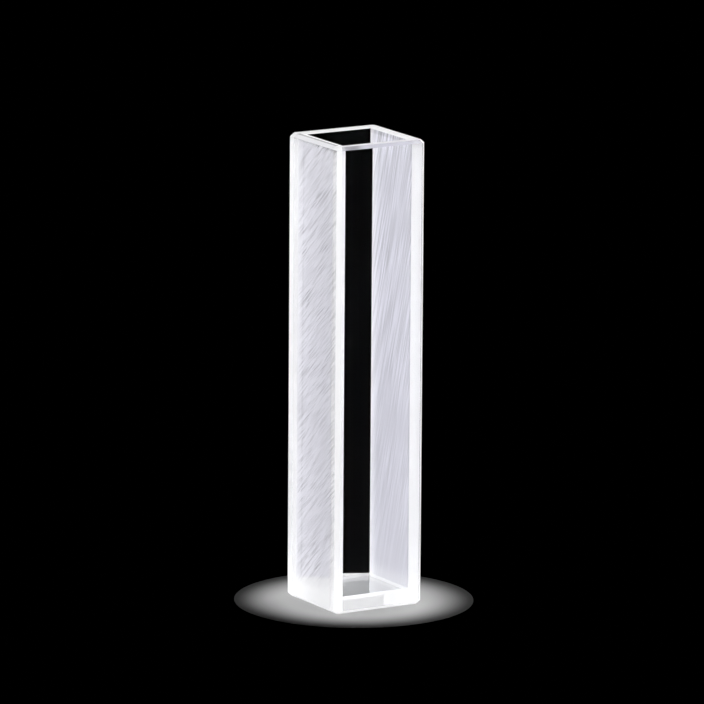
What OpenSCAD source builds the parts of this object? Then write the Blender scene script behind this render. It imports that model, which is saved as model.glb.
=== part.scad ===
// Square cuvette: a tall open cell fused from five flat glass plates.
//
// Two polished windows span the full width at the front and back. Two ground
// side walls stand between them and set the light path, which runs along Y.
// The base plate closes the foot, inset between all four.
//
// Millimetres. The origin is the centre of the foot, with +Z up.

/* [Cell] */
// Outer width, across the two ground side walls
cell_width = 12.5; // [8:0.1:30]
// Outer depth along the light path, across the two windows
cell_depth = 12.5; // [8:0.1:30]
// Overall height, from the foot to the rim
cell_height = 59; // [20:0.5:120]

/* [Plates] */
// Thickness of each polished window
window_thickness = 1.5; // [1:0.05:2.5]
// Thickness of each ground side wall
wall_thickness = 1.5; // [1:0.05:2.5]
// Thickness of the base plate
base_thickness = 2; // [1:0.1:6]

/* [Edges] */
// Chamfer down the four upright corners
corner_chamfer = 0.5; // [0.1:0.05:0.9]
// Chamfer round the outside of the rim
rim_chamfer = 0.4; // [0.1:0.05:0.6]
// Chamfer round the foot
foot_chamfer = 0.4; // [0.1:0.05:0.8]
// Bevel round the inside of the mouth
mouth_bevel = 0.2; // [0.05:0.05:0.3]

/* [Hidden] */

// The sample space that the five plates leave between them
cavity_width = cell_width - 2 * wall_thickness;
cavity_depth = cell_depth - 2 * window_thickness;

// Distance between two opposite corner facets
facet_span = (cell_width + cell_depth - 2 * corner_chamfer) / sqrt(2);

// How far a cutting solid runs on past the surface that it cuts
cut_margin = 1;

polished_glass = [0.84, 0.90, 0.94, 0.35];
ground_glass = [0.83, 0.83, 0.87];
ground_base = [0.93, 0.94, 0.95];

// Prism along Y, with the outline that the cell shows from the side:
// upright edges, cut back at the foot and at the rim
module upright_prism(across, along) {
    half = across / 2;
    rotate([90, 0, 0])
        linear_extrude(height = along, center = true)
            polygon([
                [-half, foot_chamfer],
                [-half + foot_chamfer, 0],
                [half - foot_chamfer, 0],
                [half, foot_chamfer],
                [half, cell_height - rim_chamfer],
                [half - rim_chamfer, cell_height],
                [-half + rim_chamfer, cell_height],
                [-half, cell_height - rim_chamfer]
            ]);
}

// Rectangular bar with mitred chamfers round its foot and its rim
module chamfered_bar(width, depth) {
    intersection() {
        upright_prism(width, depth);
        rotate([0, 0, 90]) upright_prism(depth, width);
    }
}

// Outside form of the whole cell. The turned bar cuts the corner facets, and its
// own chamfers carry the foot and rim cuts round them, so that all eight sides meet.
module cell_outside() {
    intersection() {
        chamfered_bar(cell_width, cell_depth);
        rotate([0, 0, 45]) chamfered_bar(facet_span, facet_span);
    }
}

// Prism along Y that widens upwards through the rim, at 45 degrees
module flare_prism(across, along) {
    low = cell_height - mouth_bevel;
    rise = mouth_bevel + cut_margin;
    half = across / 2;
    rotate([90, 0, 0])
        linear_extrude(height = along + 2 * rise, center = true)
            polygon([
                [-half, low],
                [half, low],
                [half + rise, low + rise],
                [-half - rise, low + rise]
            ]);
}

// What the inner bevel takes off the four plates round the mouth
module mouth_flare() {
    intersection() {
        flare_prism(cavity_width, cavity_depth);
        rotate([0, 0, 90]) flare_prism(cavity_depth, cavity_width);
    }
}

// Part of a block of glass that lies within the finished cell
module ground_to_cell() {
    difference() {
        intersection() {
            children();
            cell_outside();
        }
        mouth_flare();
    }
}

// Plate across the full width; side is -1 at the front and 1 at the back
module window(side) {
    centre = side * (cell_depth - window_thickness) / 2;
    ground_to_cell()
        translate([-cell_width / 2, centre - window_thickness / 2, 0])
            cube([cell_width, window_thickness, cell_height]);
}

// Plate between the windows; side is -1 on the left and 1 on the right
module wall(side) {
    centre = side * (cell_width - wall_thickness) / 2;
    ground_to_cell()
        translate([centre - wall_thickness / 2, -cavity_depth / 2, 0])
            cube([wall_thickness, cavity_depth, cell_height]);
}

module front_window() {
    color(polished_glass) window(-1);
}

module back_window() {
    color(polished_glass) window(1);
}

module left_wall() {
    color(ground_glass) wall(-1);
}

module right_wall() {
    color(ground_glass) wall(1);
}

// Floor of the cell, flush with the foot and bonded to all four plates
module base_plate() {
    color(ground_base)
        translate([-cavity_width / 2, -cavity_depth / 2, 0])
            cube([cavity_width, cavity_depth, base_thickness]);
}

front_window();
back_window();
left_wall();
right_wall();
base_plate();
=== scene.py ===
"""The looks of a square glass cuvette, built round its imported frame.

Five plates make the cell: two polished windows, two ground walls and a base.
Each one is modelled as a closed piece of glass whose faces carry their own
finish. Polished faces bend light, ground faces scatter it, and the fused
joints between the plates let it straight through, as in the real cell.
"""

from __future__ import annotations

import logging
import math
from dataclasses import dataclass, replace
from enum import Enum
from typing import Any, Callable, Iterable

import bmesh
import bpy
from mathutils import Matrix, Vector


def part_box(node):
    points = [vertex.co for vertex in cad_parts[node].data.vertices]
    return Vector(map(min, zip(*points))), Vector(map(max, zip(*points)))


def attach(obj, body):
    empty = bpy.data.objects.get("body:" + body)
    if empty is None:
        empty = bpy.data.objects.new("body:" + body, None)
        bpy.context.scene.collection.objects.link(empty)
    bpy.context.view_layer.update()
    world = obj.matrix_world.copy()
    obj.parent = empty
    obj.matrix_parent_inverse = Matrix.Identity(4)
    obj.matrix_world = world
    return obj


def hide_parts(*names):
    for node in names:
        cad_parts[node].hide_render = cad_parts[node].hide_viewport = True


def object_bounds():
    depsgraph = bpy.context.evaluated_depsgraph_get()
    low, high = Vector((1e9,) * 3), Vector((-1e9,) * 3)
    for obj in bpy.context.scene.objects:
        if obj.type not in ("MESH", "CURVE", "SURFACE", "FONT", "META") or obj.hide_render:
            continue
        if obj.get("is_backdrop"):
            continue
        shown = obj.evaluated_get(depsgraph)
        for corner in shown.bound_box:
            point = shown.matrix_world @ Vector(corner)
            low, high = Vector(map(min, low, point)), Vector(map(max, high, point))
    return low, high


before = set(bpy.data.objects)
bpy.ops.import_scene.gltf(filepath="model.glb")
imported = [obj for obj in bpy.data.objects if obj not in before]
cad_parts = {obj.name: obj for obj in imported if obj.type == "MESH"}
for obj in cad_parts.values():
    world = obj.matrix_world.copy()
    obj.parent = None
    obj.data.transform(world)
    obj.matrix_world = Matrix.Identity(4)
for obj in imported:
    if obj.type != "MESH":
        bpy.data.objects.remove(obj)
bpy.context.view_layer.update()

log = logging.getLogger("cuvette")

Colour = tuple[float, float, float]
"""Shares of red, green and blue."""

WHITE = (1, 1, 1, 1)
BLACK = (0, 0, 0, 1)

MM = 0.001
"""One millimetre in the scene's metres."""

SLANT = math.sqrt(2)
"""Length of a vector with two parts of 1, which leans at 45 degrees."""

ON_CUT = 1e-9
"""How close to a cut, in metres, a point already lies on it."""

WELD = 1e-7
"""How close together, in metres, two points are one."""

STILL_FLAT = math.radians(1)
"""Faces that meet at less than this angle are one flat face."""

STRAIGHT = 0.99
"""How much of a unit normal lies along an axis when the face looks straight that way."""

ASKEW = 0.1
"""How much of a unit normal lies along an axis when the face leans that way at all."""

UPWARDS = 0.3
"""How much of a unit normal points up on a chamfer of the rim."""

SEAM = 0.004 * MM
"""How far a frosted end stands back from the plate that it is bonded to."""


class Side(Enum):
    """A side of the cell, as its outward direction."""

    FRONT = (0, -1)
    BACK = (0, 1)
    LEFT = (-1, 0)
    RIGHT = (1, 0)


class Finish(Enum):
    """How one face of a plate has been worked, by the place that it takes."""

    POLISHED = "polished"
    GROUND = "ground"
    INNER = "inner"
    ARRIS = "arris"
    MOUTH = "mouth"
    RIM = "rim"
    BRIM = "brim"
    BOND = "bond"
    END = "end"
    BASE_FRONT = "base front"
    BASE_SIDE = "base side"
    UNDERSIDE = "underside"


@dataclass(frozen=True)
class CellSizes:
    """The sizes that the plates share, in metres."""

    width: float
    depth: float
    height: float
    window: float
    wall: float
    base: float
    corner_cut: float = 0.5 * MM
    rim_cut: float = 0.4 * MM
    foot_cut: float = 0.4 * MM
    mouth_bevel: float = 0.2 * MM

    @classmethod
    def from_frame(cls) -> CellSizes:
        """Reads the overall sizes from the frame's boxes.

        Returns:
            The sizes of the cell and of its plates.
        """
        low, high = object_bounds()
        window_low, window_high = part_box("front_window")
        wall_low, wall_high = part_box("left_wall")
        base_low, base_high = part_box("base_plate")
        return cls(
            width=high[0] - low[0],
            depth=high[1] - low[1],
            height=high[2] - low[2],
            window=window_high[1] - window_low[1],
            wall=wall_high[0] - wall_low[0],
            base=base_high[2] - base_low[2],
        )

    @property
    def cavity_width(self) -> float:
        """Clear width between the two ground walls."""
        return self.width - 2 * self.wall

    @property
    def cavity_depth(self) -> float:
        """Clear depth between the two windows, which is the light path."""
        return self.depth - 2 * self.window


@dataclass(frozen=True)
class Cut:
    """A plane that takes away everything in front of it.

    The plane is at right angles to `facing`, and `reach` is its distance from
    the origin along that direction.
    """

    facing: Vector
    reach: float

    def apply(self, mesh: bmesh.types.BMesh) -> None:
        """Cuts the mesh with the plane and closes the cut.

        Args:
            mesh: A closed convex mesh.
        """
        away = self.facing.normalized()
        cut = bmesh.ops.bisect_plane(
            mesh,
            geom=[*mesh.verts, *mesh.edges, *mesh.faces],
            plane_co=away * self.reach,
            plane_no=away,
            dist=ON_CUT,
            clear_outer=True,
        )["geom_cut"]
        rim = [e for e in cut if isinstance(e, bmesh.types.BMEdge)]
        if rim:
            bmesh.ops.contextual_create(mesh, geom=rim)


def block(low: Iterable[float], high: Iterable[float]) -> bmesh.types.BMesh:
    """Makes a plain rectangular block.

    Args:
        low: Its lowest corner, in metres.
        high: Its highest corner.

    Returns:
        A new mesh holding the block.
    """
    low, high = Vector(low), Vector(high)
    mesh = bmesh.new()
    bmesh.ops.create_cube(
        mesh,
        size=1,
        matrix=Matrix.Translation((low + high) / 2) @ Matrix.Diagonal((*(high - low), 1)),
    )
    return mesh


def outside_cuts(size: CellSizes) -> list[Cut]:
    """Lists the cuts that give the whole cell its facets and chamfers.

    Args:
        size: The cell's sizes.

    Returns:
        One cut for each side and corner facet, and one for its edge at the rim and the foot.
    """
    facet_reach = ((size.width + size.depth) / 2 - size.corner_cut) / SLANT
    reaches = (size.width / 2, facet_reach, size.depth / 2, facet_reach)
    sides = []
    for eighth in range(8):
        turn = math.radians(45 * eighth)
        sides.append((Vector((math.cos(turn), math.sin(turn), 0)), reaches[eighth % len(reaches)]))
    cuts = [Cut(facing, reach) for facing, reach in sides]
    up = Vector((0, 0, 1))
    for facing, reach in sides:
        cuts.append(Cut(facing + up, (reach + size.height - size.rim_cut) / SLANT))
        cuts.append(Cut(facing - up, (reach - size.foot_cut) / SLANT))
    return cuts


def mouth_flare(size: CellSizes) -> bmesh.types.BMesh:
    """Makes the solid that the bevel round the mouth takes away.

    Args:
        size: The cell's sizes.

    Returns:
        A mesh that widens upwards through the rim.
    """
    over = 1 * MM
    rise = size.mouth_bevel + over
    half_x = size.cavity_width / 2
    half_y = size.cavity_depth / 2
    low = size.height - size.mouth_bevel
    mesh = block((-half_x - rise, -half_y - rise, low), (half_x + rise, half_y + rise, low + rise))
    for facing, half in (
        ((1, 0, -1), half_x),
        ((-1, 0, -1), half_x),
        ((0, 1, -1), half_y),
        ((0, -1, -1), half_y),
    ):
        Cut(Vector(facing), (half - low) / SLANT).apply(mesh)
    return mesh


def take_away(body: bmesh.types.BMesh, tool: bmesh.types.BMesh) -> bmesh.types.BMesh:
    """Subtracts one mesh from another.

    Args:
        body: The mesh to cut. It is freed.
        tool: The mesh to cut away. It is freed.

    Returns:
        A new mesh with what is left of the body.
    """
    held = []
    for mesh, name in ((body, "body"), (tool, "tool")):
        data = bpy.data.meshes.new(name)
        mesh.to_mesh(data)
        mesh.free()
        held.append(bpy.data.objects.new(name, data))
        bpy.context.scene.collection.objects.link(held[-1])
    cutter = held[0].modifiers.new("cut", "BOOLEAN")
    cutter.operation, cutter.solver, cutter.object = "DIFFERENCE", "EXACT", held[1]
    evaluated = held[0].evaluated_get(bpy.context.evaluated_depsgraph_get())
    result = bmesh.new()
    result.from_mesh(evaluated.to_mesh())
    evaluated.to_mesh_clear()
    for thing in held:
        data = thing.data
        bpy.data.objects.remove(thing)
        bpy.data.meshes.remove(data)
    return result


class Graph:
    """Short names for building one shader node tree."""

    def __init__(self, tree: bpy.types.NodeTree) -> None:
        """Holds the tree that the nodes go into.

        Args:
            tree: The node tree to build.
        """
        self.tree = tree

    def put(self, socket: bpy.types.NodeSocket, value: Any) -> None:
        """Links a socket to another, or sets its value.

        Args:
            socket: The input to fill.
            value: An output socket, or a plain value.
        """
        if isinstance(value, bpy.types.NodeSocket):
            self.tree.links.new(value, socket)
        else:
            socket.default_value = value

    def node(self, kind: str, inputs: dict | None = None, **settings: Any) -> bpy.types.Node:
        """Adds a node.

        Args:
            kind: The node's type, without the leading "ShaderNode".
            inputs: Values or links for its inputs, by name or number.
            settings: The node's own properties.

        Returns:
            The new node.
        """
        made = self.tree.nodes.new("ShaderNode" + kind)
        for name, value in settings.items():
            setattr(made, name, value)
        for key, value in (inputs or {}).items():
            self.put(made.inputs[key], value)
        return made

    def place(self) -> bpy.types.NodeSocket:
        """Reads where on the piece a point lies, in metres."""
        return self.node("TexCoord").outputs["Object"]

    def math(self, operation: str, *values: Any) -> bpy.types.NodeSocket:
        """Adds a Math node and returns its output."""
        return self.node("Math", dict(enumerate(values)), operation=operation).outputs[0]

    def scaled(self, colour: Any, factor: Any) -> bpy.types.NodeSocket:
        """Multiplies a colour by one factor and returns it."""
        return self.node("VectorMath", {0: colour, "Scale": factor}, operation="SCALE").outputs[0]

    def noise(self, at: Any, scale: Any, detail: float, roughness: float = 0.5) -> bpy.types.NodeSocket:
        """Adds a noise that wanders between 0 and 1.

        Args:
            at: The place at which it is read.
            scale: How closely its spots follow each other.
            detail: How many finer layers lie on it.
            roughness: How strong the finer layers are.

        Returns:
            The noise's value.
        """
        inputs = {"Vector": at, "Scale": scale, "Detail": detail, "Roughness": roughness}
        return self.node("TexNoise", inputs).outputs["Fac"]

    def blend(self, share: Any, first: Any, second: Any) -> bpy.types.NodeSocket:
        """Adds a colour mix, whose colours are its sockets 6, 7 and 2.

        Args:
            share: How much of the mix is the second colour.
            first: The first colour.
            second: The second colour.

        Returns:
            The mixed colour.
        """
        return self.node("Mix", {0: share, 6: first, 7: second}, data_type="RGBA").outputs[2]

    def mix(self, share: Any, first: bpy.types.Node, second: bpy.types.Node) -> bpy.types.Node:
        """Mixes two shaders, of which share says how much is the second."""
        return self.node("MixShader", {0: share, 1: first.outputs[0], 2: second.outputs[0]})

    def between(self, value: Any, start: Any, end: Any) -> bpy.types.NodeSocket:
        """Adds a smooth step from 0 to 1.

        Args:
            value: What the step depends on.
            start: The value at which it is 0.
            end: The value at which it is 1, which may be the smaller one.

        Returns:
            The step.
        """
        inputs = {"Value": value, "From Min": start, "From Max": end}
        return self.node("MapRange", inputs, interpolation_type="SMOOTHSTEP").outputs[0]

    def rise(self, value: Any, start: Any, end: Any, low: Any) -> bpy.types.NodeSocket:
        """Adds an even step to 1 that starts from any level.

        Args:
            value: What the step depends on.
            start: The value up to which it is at its lowest.
            end: The value from which it is 1.
            low: Its lowest level.

        Returns:
            The step.
        """
        inputs = {"Value": value, "From Min": start, "From Max": end, "To Min": low}
        return self.node("MapRange", inputs).outputs[0]


@dataclass(frozen=True)
class Socket:
    """One input or output of a node group."""

    name: str
    kind: str = "Float"
    value: float = 0.0


class Effect:
    """A shader effect that more than one finish uses, kept as one node group."""

    made: dict[str, bpy.types.NodeTree] = {}

    def __init__(
        self,
        name: str,
        inputs: list[Socket],
        outputs: list[Socket],
        fill: Callable[[Graph, bpy.types.Node, bpy.types.Node], None],
    ) -> None:
        """Describes the effect.

        Args:
            name: The group's name.
            inputs: Its inputs.
            outputs: Its outputs, which are masks, values or colours.
            fill: Builds the nodes between the group's input and output nodes.
        """
        self.name, self.inputs, self.outputs, self.fill = name, inputs, outputs, fill

    def group(self) -> bpy.types.NodeTree:
        """Builds the node group once.

        Returns:
            The group.
        """
        if self.name not in Effect.made:
            tree = bpy.data.node_groups.new(self.name, "ShaderNodeTree")
            for way, sockets in (("INPUT", self.inputs), ("OUTPUT", self.outputs)):
                for socket in sockets:
                    made = tree.interface.new_socket(
                        socket.name, in_out=way, socket_type="NodeSocket" + socket.kind
                    )
                    if socket.kind == "Float":
                        made.default_value = socket.value
            start = tree.nodes.new("NodeGroupInput")
            end = tree.nodes.new("NodeGroupOutput")
            self.fill(Graph(tree), start, end)
            Effect.made[self.name] = tree
        return Effect.made[self.name]

    def use(self, graph: Graph, **values: Any) -> bpy.types.Node:
        """Places the effect in a material.

        Args:
            graph: The material's graph.
            values: Values or links for the effect's inputs, by name.

        Returns:
            The group node.
        """
        node = graph.tree.nodes.new("ShaderNodeGroup")
        node.node_tree = self.group()
        for name, value in values.items():
            graph.put(node.inputs[name.replace("_", " ").capitalize()], value)
        return node


LINE_NOISE = (0.41, 0.59)
"""The stretch of the line noise that runs from the darkest stroke to the palest one."""

DARKEST = -0.55
"""How dark the darkest stroke is, where the palest one is 1."""

PATCH_NOISE = (0.42, 0.62)
"""The stretch of the patch noise that runs from thinned strokes to full ones."""


def fill_strokes(g: Graph, start: bpy.types.Node, end: bpy.types.Node) -> None:
    """Draws long thin grinding strokes that lean one way and thin out between patches.

    Args:
        g: The group's graph.
        start: Its input node.
        end: Its output node.
    """
    told = start.outputs
    turned = g.node(
        "VectorRotate", {"Vector": told["Place"], "Angle": told["Lean"]}, rotation_type="X_AXIS"
    ).outputs[0]
    inwards, across, along = g.node("SeparateXYZ", {0: turned}).outputs
    across = g.math("MULTIPLY", across, told["Pitch"])
    along = g.math("DIVIDE", g.math("MULTIPLY", along, told["Pitch"]), told["Stretch"])
    inwards = g.math("ADD", g.math("MULTIPLY", inwards, told["Pitch"]), told["Seed"])
    lines_at = g.node("CombineXYZ", {0: across, 1: along, 2: inwards}).outputs[0]
    stroke = g.rise(g.noise(lines_at, 1.0, detail=1.0), *LINE_NOISE, DARKEST)
    shift = g.node("CombineXYZ", {0: told["Seed"]}).outputs[0]
    patch_at = g.node("VectorMath", {0: told["Place"], 1: shift}, operation="ADD").outputs[0]
    thick = g.rise(g.noise(patch_at, told["Patches"], detail=1.0), *PATCH_NOISE, told["Thin"])
    height = g.node("SeparateXYZ", {0: told["Place"]}).outputs[2]
    strong = g.rise(height, told["Weak below"], told["Full above"], told["Foot strength"])
    g.put(end.inputs["Stroke"], g.math("MULTIPLY", stroke, g.math("MULTIPLY", thick, strong)))


NOISE_MEAN = 0.5
"""The level that a noise wanders round."""


def fill_clouding(g: Graph, start: bpy.types.Node, end: bpy.types.Node) -> None:
    """Varies a value slowly and a little, as hand grinding does.

    Args:
        g: The group's graph.
        start: Its input node.
        end: Its output node.
    """
    told = start.outputs
    cloud = g.noise(told["Place"], told["Scale"], detail=3.0, roughness=0.55)
    g.put(end.inputs["Value"], g.math("MULTIPLY", g.math("SUBTRACT", cloud, NOISE_MEAN), told["Depth"]))


LINE_HALF = 0.35 * MM
# Half the width of the thin painted shade line beside a joint.
"""Half the width of the thin shade beside a joint."""

GLOW_TILT = 0.19
# How steeply the painted glow of light from the cell's floor climbs a wall towards the front.
"""How steeply the glow of the cell's floor climbs a wall towards the front."""

FADES = ("Foot", "Glow", "Back", "Front", "Lip", "Rim")
# The zones of painted light and shade that are smooth steps from one place to another.
"""The zones that are smooth steps from one place to another."""


def fill_zones(g: Graph, start: bpy.types.Node, end: bpy.types.Node) -> None:
    """Marks where a ground face nears the cell's floor, its joints and its rim, for the painted light
    and shade there.

    Args:
        g: The group's graph.
        start: Its input node.
        end: Its output node.
    """
    told = start.outputs
    x, y, z = g.node("SeparateXYZ", {0: told["Place"]}).outputs
    tilted = g.math("ADD", z, g.math("MULTIPLY", y, GLOW_TILT))
    outwards = g.math("MAXIMUM", g.math("ABSOLUTE", x), g.math("ABSOLUTE", y))
    for zone, measure in zip(FADES, (z, tilted, y, y, outwards, z)):
        g.put(end.inputs[zone], g.between(measure, told[zone + " from"], told[zone + " to"]))
    # Painted shade line: a thin dark line at `Line`, a set distance before the back window.
    away = g.math("ABSOLUTE", g.math("SUBTRACT", y, told["Line"]))
    g.put(end.inputs["Seam"], g.between(away, LINE_HALF, 0.0))


STROKES = Effect(
    "grinding strokes",
    [Socket("Place", "Vector"), Socket("Lean"), Socket("Pitch", value=2000.0),
     Socket("Stretch", value=10.0), Socket("Patches", value=250.0), Socket("Thin", value=0.2),
     Socket("Foot strength", value=1.0), Socket("Weak below"), Socket("Full above", value=1.0),
     Socket("Seed")],
    [Socket("Stroke")],
    fill_strokes,
)
CLOUDING = Effect(
    "grinding clouds",
    [Socket("Place", "Vector"), Socket("Scale", value=300.0), Socket("Depth", value=0.1)],
    [Socket("Value")],
    fill_clouding,
)
# Masks for the painted light and painted shade on the ground faces.
ZONES = Effect(
    "painted light and shade zones",
    [Socket("Place", "Vector"), Socket("Line"),
     *(Socket(f"{zone} {bound}") for zone in FADES for bound in ("from", "to"))],
    [Socket(zone) for zone in (*FADES, "Seam")],
    fill_zones,
)


@dataclass(frozen=True)
class GlassFinish:
    """What all the finishes of the glass share."""

    name: str
    ior: float = 1.46

    def material(self, size: CellSizes) -> bpy.types.Material:
        """Builds the finish's material, once for all the plates that have it.

        Args:
            size: The cell's sizes.

        Returns:
            The material.
        """
        known = bpy.data.materials.get(self.name)
        if known:
            return known
        made = bpy.data.materials.new(self.name)
        made.use_nodes = True
        made.node_tree.nodes.clear()
        g = Graph(made.node_tree)
        g.node("OutputMaterial", {"Surface": self.surface(g, size).outputs[0]})
        return made

    def surface(self, g: Graph, size: CellSizes) -> bpy.types.Node:
        """Builds the shaders of the finish.

        Args:
            g: The material's graph.
            size: The cell's sizes.

        Returns:
            The node whose first output is the surface.
        """
        raise NotImplementedError


@dataclass(frozen=True)
class Polished(GlassFinish):
    """Optically polished glass, which light from the lamps passes straight through.

    It mirrors next to nothing up to `dim_below`, and all that glass does from
    `full_above`, both given as the share that clear glass would mirror.
    """

    tint: Colour = (0.985, 0.99, 0.995)
    dim_mirror: Colour = (0.01, 0.01, 0.01)
    dim_below: float = 0.06
    full_above: float = 0.3
    lamp_light: Colour = (0.96, 0.96, 0.96)
    haze_scale: float = 180.0
    haze_depth: float = 0.02

    def surface(self, g: Graph, size: CellSizes) -> bpy.types.Node:
        """Builds clear glass with the faintest of polishing haze.

        Args:
            g: The material's graph.
            size: The cell's sizes, which are not used.

        Returns:
            The node whose first output is the surface.
        """
        haze = CLOUDING.use(g, place=g.place(), scale=self.haze_scale, depth=self.haze_depth).outputs[0]
        mirrored = g.node("Fresnel", {"IOR": self.ior}).outputs[0]
        shine = g.between(mirrored, self.dim_below, self.full_above)
        glass = g.node(
            "BsdfPrincipled",
            {
                "Base Color": (*self.tint, 1),
                "Roughness": g.math("MAXIMUM", haze, 0.0),
                "IOR": self.ior,
                "Transmission Weight": 1.0,
                "Specular Tint": g.blend(shine, (*self.dim_mirror, 1), WHITE),
            },
        )
        clear = g.node("BsdfTransparent", {"Color": (*self.lamp_light, 1)})
        return g.mix(g.node("LightPath").outputs["Is Shadow Ray"], glass, clear)


@dataclass(frozen=True)
class FusedBond(GlassFinish):
    """A fused joint, which light crosses unbent."""

    def surface(self, g: Graph, size: CellSizes) -> bpy.types.Node:
        """Builds a clear joint."""
        return g.node("BsdfTransparent")


@dataclass(frozen=True, kw_only=True)
class FrostedEnd(GlassFinish):
    """A ground face sealed inside a joint, which shows as a white haze in the glass.

    `frost` is the share of light that the haze catches, and `glow` the share of
    that which comes out on the far side.
    """

    frost: float
    tone: Colour = (0.97, 0.97, 0.98)
    glow: float = 0.5
    cloud_scale: float = 300.0
    cloud_depth: float = 0.06

    def surface(self, g: Graph, size: CellSizes) -> bpy.types.Node:
        """Builds a white haze that lets part of the light straight through.

        Args:
            g: The material's graph.
            size: The cell's sizes, which are not used.

        Returns:
            The node whose first output is the surface.
        """
        cloud = CLOUDING.use(g, place=g.place(), scale=self.cloud_scale, depth=self.cloud_depth)
        white = g.scaled(self.tone, g.math("ADD", cloud.outputs[0], 1.0))
        near = g.node("BsdfDiffuse", {"Color": white})
        far = g.node("BsdfTranslucent", {"Color": white})
        return g.mix(self.frost, g.node("BsdfTransparent"), g.mix(self.glow, near, far))


@dataclass(frozen=True)
class Stroke:
    """One family of grinding strokes, which lean away from the vertical.

    The lean is in degrees, the pitch in strokes per millimetre, and the patches are
    that many millimetres across. The strokes grow from their strength at the foot
    to their full strength, from `weak_below` over the cell's floor to `full_above`
    under the rim, in millimetres.
    """

    lean: float
    pitch: float
    stretch: float
    depth: float
    patches: float
    thin: float
    foot_strength: float = 1.0
    weak_below: float = 3.0
    full_above: float = 7.0

    def draw(
        self, g: Graph, place: bpy.types.NodeSocket, seed: float, size: CellSizes
    ) -> bpy.types.NodeSocket:
        """Adds the strokes to a material.

        Args:
            g: The material's graph.
            place: Where on the piece the strokes are read.
            seed: Sets one surface's pattern apart from another's.
            size: The cell's sizes.

        Returns:
            How much paler or darker each point is.
        """
        node = STROKES.use(
            g,
            place=place,
            lean=math.radians(self.lean),
            pitch=self.pitch / MM,
            stretch=self.stretch,
            patches=1 / (self.patches * MM),
            thin=self.thin,
            foot_strength=self.foot_strength,
            weak_below=size.base + self.weak_below * MM,
            full_above=size.height - self.full_above * MM,
            seed=seed,
        )
        return g.math("MULTIPLY", node.outputs[0], self.depth)


@dataclass(frozen=True)
class Zones:
    """Where a ground face pales or darkens with painted light and shade, in millimetres from the edges
    of the cell.

    Each pair is where a smooth step starts and where it is complete: the foot and
    the glow over the cell's floor, the rim under the top, the lip outwards from the
    mouth, and the back and the front inwards from the windows. The painted shade line is
    that far before the back window.
    """

    foot: tuple[float, float] = (0.9, 0.1)
    glow: tuple[float, float] = (1.8, 1.2)
    back: tuple[float, float] = (1.75, 0.85)
    front: tuple[float, float] = (0.35, -0.45)
    lip: tuple[float, float] = (0.7, 0.55)
    rim: tuple[float, float] = (0.85, 0.5)
    line: float = 2.4

    def places(self, size: CellSizes) -> dict[str, float]:
        """Works out where the zones lie in the cell.

        Args:
            size: The cell's sizes.

        Returns:
            Values for the inputs of the zones' node group, in metres.
        """
        inner_x, inner_y = size.cavity_width / 2, size.cavity_depth / 2
        places = {"line": inner_y - self.line * MM}
        for zone, edge, way, steps in (
            ("foot", size.base, 1, self.foot),
            ("glow", size.base, 1, self.glow),
            ("back", inner_y, -1, self.back),
            ("front", -inner_y, 1, self.front),
            ("lip", inner_x, 1, self.lip),
            ("rim", size.height, -1, self.rim),
        ):
            for bound, step in zip(("from", "to"), steps):
                places[f"{zone}_{bound}"] = edge + way * step * MM
        return places


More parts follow.
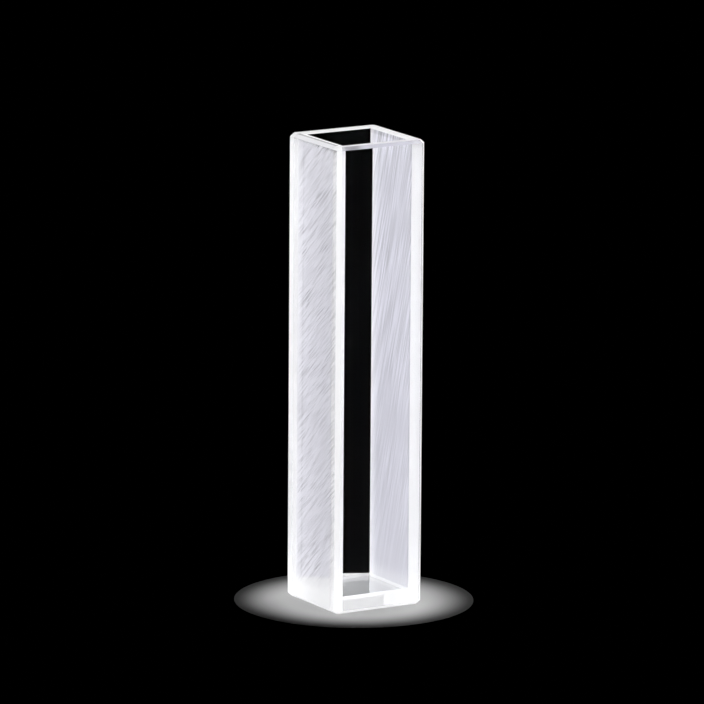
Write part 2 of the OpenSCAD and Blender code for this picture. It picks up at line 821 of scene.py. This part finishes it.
@dataclass(frozen=True, kw_only=True)
class Ground(GlassFinish):
    """Glass ground with loose grit, which scatters what it mirrors and what it passes.

    Of the light, `passed` is the share that goes on through the glass, and `glow` the
    share that comes out evenly on the far side. Each `lit` share paints light into its
    zone by blending it towards the tone of gathered light, each `shade` paints shade by
    darkening its zone, and `calm` quiets the strokes under the painted light.
    """

    tone: Colour
    passed: float
    glow: float
    seed: float
    roughness: float = 0.45
    gloss: float = 0.5
    strokes: tuple[Stroke, ...] = ()
    seed_step: float = 7.0
    cloud_scale: float = 220.0
    cloud_depth: float = 0.06
    zones: Zones = Zones()
    lit_tone: Colour = (0.98, 0.98, 0.985)
    lit_floor: float = 0.0
    lit_foot: float = 0.0
    lit_back: float = 0.0
    lit_lip: float = 0.0
    shade_front: float = 0.0
    shade_rim: float = 0.0
    shade_line: float = 0.0
    calm: float = 0.0

    def grain(self, g: Graph, place: bpy.types.NodeSocket, size: CellSizes) -> bpy.types.NodeSocket:
        """Adds up the strokes and the slow clouds of the grinding.

        Args:
            g: The material's graph.
            place: Where on the piece they are read.
            size: The cell's sizes.

        Returns:
            A factor near one for the colour.
        """
        total = CLOUDING.use(g, place=place, scale=self.cloud_scale, depth=self.cloud_depth).outputs[0]
        for number, stroke in enumerate(self.strokes):
            drawn = stroke.draw(g, place, self.seed + self.seed_step * number, size)
            total = g.math("ADD", total, drawn)
        return g.math("ADD", total, 1.0)

    def colour(self, g: Graph, size: CellSizes) -> bpy.types.NodeSocket:
        """Builds the face's colour, with painted light where light gathers at the joints and over the
        floor, and painted shade by the front joint, under the rim and along a thin line.

        Args:
            g: The material's graph.
            size: The cell's sizes.

        Returns:
            The colour.
        """
        place = g.place()
        factor = self.grain(g, place, size)
        zones = ZONES.use(g, place=place, **self.zones.places(size)).outputs
        if self.calm:
            quiet = g.math("MULTIPLY", g.math("MAXIMUM", zones["Foot"], zones["Back"]), self.calm)
            factor = g.blend(quiet, factor, WHITE)
        # Painted shade: darker by the front joint, under the rim and along a thin line.
        shades = {"Front": self.shade_front, "Rim": self.shade_rim, "Seam": self.shade_line}
        for zone, amount in shades.items():
            if amount:
                factor = g.math("SUBTRACT", factor, g.math("MULTIPLY", zones[zone], amount))
        colour = g.scaled(self.tone, factor)
        colour = g.node("VectorMath", {0: colour, 1: WHITE[:3]}, operation="MINIMUM").outputs[0]
        # Painted light: paler over the cell's floor, at the foot, by the back joint and along the
        # mouth.
        lights = {"Glow": self.lit_floor, "Foot": self.lit_foot, "Back": self.lit_back,
                  "Lip": self.lit_lip}
        for zone, amount in lights.items():
            if amount:
                colour = g.blend(g.math("MULTIPLY", zones[zone], amount), colour, (*self.lit_tone, 1))
        return colour

    def surface(self, g: Graph, size: CellSizes) -> bpy.types.Node:
        """Builds scattering glass with fine strokes that lean one way.

        Args:
            g: The material's graph.
            size: The cell's sizes.

        Returns:
            The node whose first output is the surface.
        """
        colour = self.colour(g, size)
        face = g.node(
            "BsdfPrincipled",
            {
                "Base Color": colour,
                "Roughness": self.roughness,
                "IOR": self.ior,
                "Specular IOR Level": self.gloss,
                "Transmission Weight": self.passed,
            },
        )
        return g.mix(self.glow, face, g.node("BsdfTranslucent", {"Color": colour}))


POLISHED = Polished("polished glass")
"""The broad faces of the windows, and the base above and below."""

BOND = FusedBond("fused bond")
"""Where the inner faces of the windows and walls are bonded to other plates."""

WALL_END = FrostedEnd("frosted wall end", frost=1.0, tone=(0.99, 0.99, 0.995), glow=0.6)
"""The ends of the side walls, which show as white bars through the glass in front."""

BASE_FRONT = FrostedEnd("frosted base front", frost=0.35)
BASE_SIDE = FrostedEnd("frosted base side", frost=1.0, tone=(0.98, 0.98, 0.985))
BASE_BACK = FrostedEnd("frosted base back", frost=0.45)
"""The sides of the base plate, bonded to the four upright plates."""

ARRIS = Ground(
    "ground arris", tone=(0.89, 0.89, 0.895), passed=0.35, glow=0.2, gloss=0.2, seed=3.0
)
"""The corner facets, and all the chamfers but the brim's."""

MOUTH = Ground("fine mouth arris", tone=(0.87, 0.87, 0.88), passed=0.05, glow=0.2, seed=4.0)
"""The bevel round the inside of the mouth."""

CLEAR_RIM = Ground(
    "clear ground rim", tone=(0.96, 0.955, 0.985), passed=0.15, glow=0.2, gloss=0.1, seed=6.0
)
SHADED_RIM = Ground(
    "shaded ground rim", tone=(0.50, 0.50, 0.51), passed=0.0, glow=0.05, gloss=0.1, seed=7.0, lit_lip=1.0
)
LIT_RIM = Ground("lit ground rim", tone=(0.97, 0.97, 0.975), passed=0.1, glow=0.15, seed=8.0)
# The flat top edges of the plates, one ground glass in lit and shaded copies: clear in front, a
# painted-shade grey with a painted highlight along the mouth on the left, and painted-light white
# elsewhere.
"""The flat top edges of the plates: clear in front, grey on the left, white elsewhere."""

CLEAR_BRIM = Ground(
    "clear ground brim", tone=(0.90, 0.895, 0.97), passed=0.72, glow=0.2, roughness=0.15, gloss=0.1,
    seed=12.0,
)
PALE_BRIM = Ground(
    "pale ground brim", tone=(0.80, 0.80, 0.81), passed=0.35, glow=0.2, gloss=0.2, seed=13.0
)
"""The chamfers along the outside of the rim: clear in front, pale elsewhere."""

WHITE_EDGE = Ground("white ground edge", tone=(0.80, 0.80, 0.805), passed=0.8, glow=0.2, seed=9.0)
"""The narrow side faces of the back window."""

OUTER_FACE = Ground(
    "ground outer face",
    tone=(0.82, 0.82, 0.825),
    passed=0.92,
    glow=0.15,
    seed=1.0,
    roughness=0.2,
    strokes=(
        Stroke(lean=-48, pitch=4.0, stretch=22, depth=0.4, patches=3.0, thin=0.25),
        Stroke(lean=-50, pitch=6.4, stretch=24, depth=0.6, patches=2.6, thin=0.2),
    ),
    lit_tone=(0.96, 0.96, 0.965),
    lit_floor=0.6,
    lit_foot=1.0,
    lit_back=1.0,
    shade_front=0.1,
    shade_rim=0.4,
    shade_line=0.24,
    calm=1.0,
)
# The left wall outside, the narrow side faces of the front window, and the undersides, with painted
# light over the cell's floor, at the foot and by the back joint, and painted shade by the front edge,
# under the rim and along a thin line.
"""The left wall outside, the narrow side faces of the front window, and the undersides."""

CALM_STROKES = 0.4
"""How deep the strokes of the calm outer face are, as a share of the other's."""

CALM_OUTER_FACE = replace(
    OUTER_FACE,
    name="calm ground outer face",
    roughness=0.35,
    strokes=tuple(replace(family, depth=CALM_STROKES * family.depth) for family in OUTER_FACE.strokes),
)
# The right wall outside, with the same painted light and shade.
"""The right wall outside."""

LEFT_INNER_FACE = Ground(
    "ground inner face left",
    tone=(0.83, 0.825, 0.89),
    passed=0.1,
    glow=0.35,
    seed=5.0,
    strokes=(Stroke(lean=-21, pitch=4.2, stretch=60, depth=0.06, patches=9, thin=0.3),),
    zones=Zones(foot=(1.2, 0.1), back=(1.45, 0.0), front=(0.85, 0.05)),
    lit_floor=0.9,
    lit_foot=0.5,
    lit_back=0.35,
)
# The left wall inside the cell, in a paler tone than the right wall's inside as painted light, with
# painted light over the floor, at the foot and by the back joint.
"""The left wall inside the cell."""

RIGHT_INNER_FACE = Ground(
    "ground inner face right",
    tone=(0.605, 0.6, 0.658),
    passed=0.1,
    glow=0.35,
    seed=11.0,
    strokes=(
        Stroke(lean=-16, pitch=3.6, stretch=36, depth=0.27, patches=9, thin=0.3, foot_strength=0.25),
        Stroke(lean=-11, pitch=4.4, stretch=40, depth=0.2, patches=6, thin=0.2, foot_strength=0.25),
    ),
    zones=Zones(foot=(2.4, 0.1), back=(1.85, 0.0), front=(0.65, 0.0)),
    lit_foot=0.3,
    lit_back=0.45,
    shade_front=0.2,
    shade_rim=0.25,
)
# The right wall inside the cell, in a darker tone than the left wall's inside as painted shade, with
# painted light at the foot and by the back joint and painted shade by the front joint and under the
# rim.
"""The right wall inside the cell."""


WINDOW_FINISHES = {
    Finish.POLISHED: POLISHED,
    Finish.ARRIS: ARRIS,
    Finish.MOUTH: MOUTH,
    Finish.BOND: BOND,
    Finish.UNDERSIDE: OUTER_FACE,
}
WALL_FINISHES = {
    Finish.ARRIS: ARRIS,
    Finish.MOUTH: MOUTH,
    Finish.BRIM: PALE_BRIM,
    Finish.END: WALL_END,
    Finish.BOND: BOND,
    Finish.UNDERSIDE: OUTER_FACE,
}
BASE_FINISHES = {
    Finish.POLISHED: POLISHED,
    Finish.BASE_FRONT: BASE_FRONT,
    Finish.BASE_SIDE: BASE_SIDE,
    Finish.END: BASE_BACK,
}


@dataclass
class Plate:
    """One flat plate of the cell."""

    node: str
    size: CellSizes
    slot: str
    finishes: dict[Finish, GlassFinish]

    def box(self) -> tuple[Vector, Vector]:
        """Gives the plate's corners before its edges are cut.

        Returns:
            Its lowest and its highest corner.
        """
        low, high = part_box(self.node)
        shy = Vector(self.shy())
        return Vector(low) + shy, Vector(high) - shy

    def shy(self) -> tuple[float, float, float]:
        """How far the plate's frosted ends stand back from the joint."""
        return (0, 0, 0)

    def finish_of(self, normal: Vector, centre: Vector) -> Finish:
        """Tells how a face of the plate is worked.

        Args:
            normal: The way the face looks.
            centre: The face's middle.

        Returns:
            The face's finish.
        """
        raise NotImplementedError

    def seams(self) -> list[tuple[Vector, Vector]]:
        """Lists the planes that part a face's bonded stretch from its open one."""
        return []

    def shape(self) -> bmesh.types.BMesh:
        """Cuts the plate out, with its facets, its chamfers and its seams.

        Returns:
            A new closed mesh.
        """
        mesh = block(*self.box())
        for cut in outside_cuts(self.size):
            cut.apply(mesh)
        mesh = take_away(mesh, mouth_flare(self.size))
        bmesh.ops.remove_doubles(mesh, verts=mesh.verts, dist=WELD)
        bmesh.ops.dissolve_limit(mesh, angle_limit=STILL_FLAT, verts=mesh.verts, edges=mesh.edges)
        for place, facing in self.seams():
            bmesh.ops.bisect_plane(
                mesh,
                geom=[*mesh.verts, *mesh.edges, *mesh.faces],
                plane_co=place,
                plane_no=facing,
                dist=WELD,
            )
        return mesh

    def dress(self, mesh: bmesh.types.BMesh) -> None:
        """Gives each face the place of its finish among the plate's finishes.

        Args:
            mesh: The plate's mesh.
        """
        order = list(self.finishes)
        mesh.normal_update()
        for face in mesh.faces:
            finish = self.finish_of(face.normal, face.calc_center_median())
            face.material_index = order.index(finish)

    def build(self) -> bpy.types.Object:
        """Builds the plate, dresses it and joins it to the frame.

        Returns:
            The finished piece.
        """
        mesh = self.shape()
        self.dress(mesh)
        data = bpy.data.meshes.new(self.node + "_glass")
        mesh.to_mesh(data)
        mesh.free()
        for finish in self.finishes.values():
            data.materials.append(finish.material(self.size))
        piece = bpy.data.objects.new(self.node + "_glass", data)
        bpy.context.scene.collection.objects.link(piece)
        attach(piece, "root")
        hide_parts(self.node)
        return piece


@dataclass
class Upright(Plate):
    """A plate that closes one side of the cell."""

    side: Side

    def outwards(self, normal: Vector) -> float:
        """How much of a normal points out of the cell."""
        return normal.xy.dot(Vector(self.side.value))

    def edge(self, normal: Vector) -> Finish:
        """Tells how a slanted face is worked.

        Args:
            normal: The way the face looks.

        Returns:
            The brim for the chamfer along the outside of the rim, the mouth for what
            leans inwards, and the arris for the rest.
        """
        outwards = self.outwards(normal)
        sideways = abs(normal.xy.cross(Vector(self.side.value)))
        if sideways < ASKEW and normal.z > UPWARDS and outwards > 0:
            return Finish.BRIM
        return Finish.MOUTH if outwards < -ASKEW else Finish.ARRIS


@dataclass
class Window(Upright):
    """A polished window, bonded round three sides of its inner face."""

    def finish_of(self, normal: Vector, centre: Vector) -> Finish:
        """Polished front and back, ground edges, and bonded where the others meet it.

        Args:
            normal: The way the face looks.
            centre: The face's middle.

        Returns:
            The face's finish.
        """
        if max(abs(part) for part in normal) < STRAIGHT:
            return self.edge(normal)
        if abs(normal.z) > STRAIGHT:
            return Finish.RIM if normal.z > 0 else Finish.UNDERSIDE
        if abs(normal.x) > STRAIGHT:
            return Finish.GROUND
        if self.outwards(normal) > 0:
            return Finish.POLISHED
        bonded = abs(centre.x) > self.size.cavity_width / 2 or centre.z < self.size.base
        return Finish.BOND if bonded else Finish.POLISHED

    def seams(self) -> list[tuple[Vector, Vector]]:
        """Parts the inner face along the two walls and the base.

        Returns:
            A point and a normal for each plane.
        """
        half = self.size.cavity_width / 2
        return [
            (Vector((-half, 0, 0)), Vector((1, 0, 0))),
            (Vector((half, 0, 0)), Vector((1, 0, 0))),
            (Vector((0, 0, self.size.base)), Vector((0, 0, 1))),
        ]


@dataclass
class Wall(Upright):
    """A ground side wall, bonded at both ends and along the base."""

    def shy(self) -> tuple[float, float, float]:
        """Stands back from the two windows."""
        return (0, SEAM, 0)

    def finish_of(self, normal: Vector, centre: Vector) -> Finish:
        """Ground outside and in, with frosted ends and a bonded foot.

        Args:
            normal: The way the face looks.
            centre: The face's middle.

        Returns:
            The face's finish.
        """
        if max(abs(part) for part in normal) < STRAIGHT:
            return self.edge(normal)
        if abs(normal.y) > STRAIGHT:
            return Finish.END
        if abs(normal.z) > STRAIGHT:
            return Finish.RIM if normal.z > 0 else Finish.UNDERSIDE
        if self.outwards(normal) > 0:
            return Finish.GROUND
        return Finish.BOND if centre.z < self.size.base else Finish.INNER

    def seams(self) -> list[tuple[Vector, Vector]]:
        """Parts the inner face along the base."""
        return [(Vector((0, 0, self.size.base)), Vector((0, 0, 1)))]


@dataclass
class Base(Plate):
    """The floor of the cell, bonded all round."""

    def shy(self) -> tuple[float, float, float]:
        """Stands back from the four upright plates."""
        return (SEAM, SEAM, 0)

    def finish_of(self, normal: Vector, centre: Vector) -> Finish:
        """Polished above and below, and frosted at the sides.

        Args:
            normal: The way the face looks.
            centre: The face's middle, which is not used.

        Returns:
            The face's finish.
        """
        if normal.y < -STRAIGHT:
            return Finish.BASE_FRONT
        if abs(normal.x) > STRAIGHT:
            return Finish.BASE_SIDE
        if abs(normal.y) > STRAIGHT:
            return Finish.END
        return Finish.POLISHED


@dataclass
class Cuvette:
    """The whole cell."""

    size: CellSizes

    def windows(self) -> list[Window]:
        """Describes the two windows.

        Returns:
            The front window and the back one, ready to build.
        """
        front = {Finish.GROUND: OUTER_FACE, Finish.RIM: CLEAR_RIM, Finish.BRIM: CLEAR_BRIM}
        back = {Finish.GROUND: WHITE_EDGE, Finish.RIM: LIT_RIM, Finish.BRIM: PALE_BRIM}
        return [
            Window("front_window", self.size, "polished_window", WINDOW_FINISHES | front, Side.FRONT),
            Window("back_window", self.size, "polished_window", WINDOW_FINISHES | back, Side.BACK),
        ]

    def walls(self) -> list[Wall]:
        """Describes the two side walls.

        Returns:
            The left wall and the right one, ready to build.
        """
        left = {Finish.GROUND: OUTER_FACE, Finish.INNER: LEFT_INNER_FACE, Finish.RIM: SHADED_RIM}
        right = {Finish.GROUND: CALM_OUTER_FACE, Finish.INNER: RIGHT_INNER_FACE,
                 Finish.RIM: LIT_RIM}
        return [
            Wall("left_wall", self.size, "ground_wall", WALL_FINISHES | left, Side.LEFT),
            Wall("right_wall", self.size, "ground_wall", WALL_FINISHES | right, Side.RIGHT),
        ]

    def floor(self) -> Base:
        """Describes the base plate, ready to build."""
        return Base("base_plate", self.size, "base_glass", BASE_FINISHES)

    def plates(self) -> list[Plate]:
        """Lists the five plates in the order in which they are built."""
        return [*self.windows(), *self.walls(), self.floor()]


def facing(yaw: float, pitch: float) -> Vector:
    """Gives the direction from the cell towards a place round it.

    Args:
        yaw: Degrees round from the front, towards the right.
        pitch: Degrees above the floor.

    Returns:
        A vector of length one.
    """
    a, e = math.radians(yaw), math.radians(pitch)
    return Vector((math.sin(a) * math.cos(e), -math.cos(a) * math.cos(e), math.sin(e)))


@dataclass(frozen=True)
class Lamp:
    """One soft square lamp that looks at the cell.

    Yaw and pitch are as in `facing`, the power is in watts, and the reach to the
    cell and the side of the lamp are in metres.
    """

    name: str
    yaw: float
    pitch: float
    power: float
    reach: float = 0.5
    side: float = 0.3

    def hang(self, middle: Vector) -> None:
        """Hangs the lamp.

        Args:
            middle: The place that it looks at.
        """
        data = bpy.data.lights.new(self.name, "AREA")
        data.shape, data.size, data.energy = "SQUARE", self.side, self.power
        thing = bpy.data.objects.new(self.name, data)
        way = facing(self.yaw, self.pitch)
        thing.location = middle + way * self.reach
        thing.rotation_mode = "QUATERNION"
        thing.rotation_quaternion = way.to_track_quat("Z", "Y")
        bpy.context.scene.collection.objects.link(thing)


LAMPS = (
    Lamp("front lamp", yaw=-10, pitch=20, power=1.8),
    Lamp("left lamp", yaw=-95, pitch=15, power=1.45),
    Lamp("key lamp", yaw=-65, pitch=20, power=0.6),
    Lamp("fill lamp", yaw=60, pitch=20, power=0.6),
    Lamp("right lamp", yaw=100, pitch=15, power=0.95),
    Lamp("back lamp", yaw=125, pitch=15, power=1.8),
    Lamp("rear lamp", yaw=-150, pitch=12, power=1.1),
    Lamp("top lamp", yaw=0, pitch=75, power=0.55),
)


@dataclass(frozen=True)
class PaleFloor:
    """A small plain disc under the cell, whose colour for the camera fades to black towards its edge as
    a painted pool of light.

    It is as grey as `seen` for the camera, as `through` in the glass, and as `grey`
    for the light that it throws on the cell.
    """

    radius: float = 15 * MM
    corners: int = 128
    drop: float = 0.02 * MM
    grey: float = 0.8
    seen: float = 0.4
    through: float = 0.64
    fade_from: float = 0.55
    roughness: float = 0.9
    gloss: float = 0.1

    def material(self) -> bpy.types.Material:
        """Builds the floor's plain pale finish.

        Returns:
            The material.
        """
        made = bpy.data.materials.new("pale floor")
        made.use_nodes = True
        shader = made.node_tree.nodes["Principled BSDF"]
        shader.inputs["Roughness"].default_value = self.roughness
        shader.inputs["Specular IOR Level"].default_value = self.gloss
        g = Graph(made.node_tree)
        path = g.node("LightPath").outputs
        looked = path["Is Camera Ray"]
        bounced = g.math("MINIMUM", path["Diffuse Depth"], 1.0)
        through, grey, seen = ((tone, tone, tone, 1) for tone in (self.through, self.grey, self.seen))
        pale = g.blend(looked, g.blend(bounced, through, grey), seen)
        # Painted pool of light: for the camera the floor fades to black from fade_from of the radius
        # outwards.
        outwards = g.node("VectorMath", {0: g.place()}, operation="LENGTH").outputs["Value"]
        fade = g.between(outwards, self.fade_from * self.radius, self.radius)
        g.put(shader.inputs["Base Color"], g.blend(g.math("MULTIPLY", looked, fade), pale, BLACK))
        return made

    def build(self) -> None:
        """Lays the floor just under the cell's foot."""
        mesh = bmesh.new()
        bmesh.ops.create_circle(mesh, cap_ends=True, radius=self.radius, segments=self.corners)
        data = bpy.data.meshes.new("floor")
        mesh.to_mesh(data)
        mesh.free()
        data.materials.append(self.material())
        thing = bpy.data.objects.new("floor", data)
        thing.location.z = -self.drop
        bpy.context.scene.collection.objects.link(thing)
        thing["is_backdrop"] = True


@dataclass(frozen=True)
class Viewpoint:
    """Where the camera stands, and how it is turned.

    Yaw and pitch are as in `facing`, and the roll is in degrees. The distance and
    the shifts aside and above are in metres, the lens and its sensor in millimetres.
    """

    yaw: float = -30.48
    pitch: float = 11.89
    roll: float = 0.40
    distance: float = 0.987
    aside: float = -0.42 * MM
    above: float = 2.11 * MM
    lens: float = 405.0
    sensor: float = 36.0

    def build(self, middle: Vector) -> None:
        """Sets the camera at the viewing angle.

        Args:
            middle: The middle of the cell.
        """
        back = facing(self.yaw, self.pitch)
        right = (-back).cross(Vector((0, 0, 1))).normalized()
        up = right.cross(-back)
        roll = math.radians(self.roll)
        across = right * math.cos(roll) + up * math.sin(roll)
        upward = up * math.cos(roll) - right * math.sin(roll)
        data = bpy.data.cameras.new("camera")
        data.lens, data.sensor_width = self.lens, self.sensor
        thing = bpy.data.objects.new("camera", data)
        thing.rotation_mode = "QUATERNION"
        thing.rotation_quaternion = Matrix((across, upward, back)).transposed().to_quaternion()
        thing.location = middle + across * self.aside + upward * self.above + back * self.distance
        bpy.context.scene.collection.objects.link(thing)
        bpy.context.scene.camera = thing


@dataclass
class Studio:
    """The floor, the lamps, the dark surroundings and the camera."""

    middle: Vector
    soft_light: float = 0.12
    bounces: int = 24
    clear_bounces: int = 32
    mirror_bounces: int = 16
    scatter_bounces: int = 6

    def surround(self) -> None:
        """Surrounds the cell with soft light that the camera and the glass see as dark."""
        world = bpy.data.worlds.new("dark studio")
        bpy.context.scene.world = world
        world.use_nodes = True
        world.node_tree.nodes.clear()
        g = Graph(world.node_tree)
        path = g.node("LightPath").outputs
        in_glass = g.math("MAXIMUM", path["Is Glossy Ray"], path["Is Transmission Ray"])
        seen = g.math("MAXIMUM", path["Is Camera Ray"], in_glass)
        soft = g.node("Background", {"Color": WHITE, "Strength": self.soft_light})
        dark = g.node("Background", {"Color": BLACK})
        g.node("OutputWorld", {"Surface": g.mix(seen, soft, dark).outputs[0]})

    def trace(self) -> None:
        """Lets light cross all the faces of the glass, and keeps colours as written."""
        scene = bpy.context.scene
        scene.view_settings.view_transform = "Standard"
        scene.cycles.max_bounces = self.bounces
        scene.cycles.transmission_bounces = self.bounces
        scene.cycles.transparent_max_bounces = self.clear_bounces
        scene.cycles.glossy_bounces = self.mirror_bounces
        scene.cycles.diffuse_bounces = self.scatter_bounces

    def build(self) -> None:
        """Builds the whole studio."""
        PaleFloor().build()
        for lamp in LAMPS:
            lamp.hang(self.middle)
        self.surround()
        Viewpoint().build(self.middle)
        self.trace()


def main() -> None:
    """Builds the cuvette and the studio round it, and reports each piece."""
    logging.basicConfig(level=logging.INFO, format="%(name)s: %(message)s")
    size = CellSizes.from_frame()
    for plate in Cuvette(size).plates():
        piece = plate.build()
        log.info("%s: %d faces", piece.name, len(piece.data.polygons))
    Studio(middle=Vector((0, 0, size.height / 2))).build()


if __name__ == "__main__":
    main()
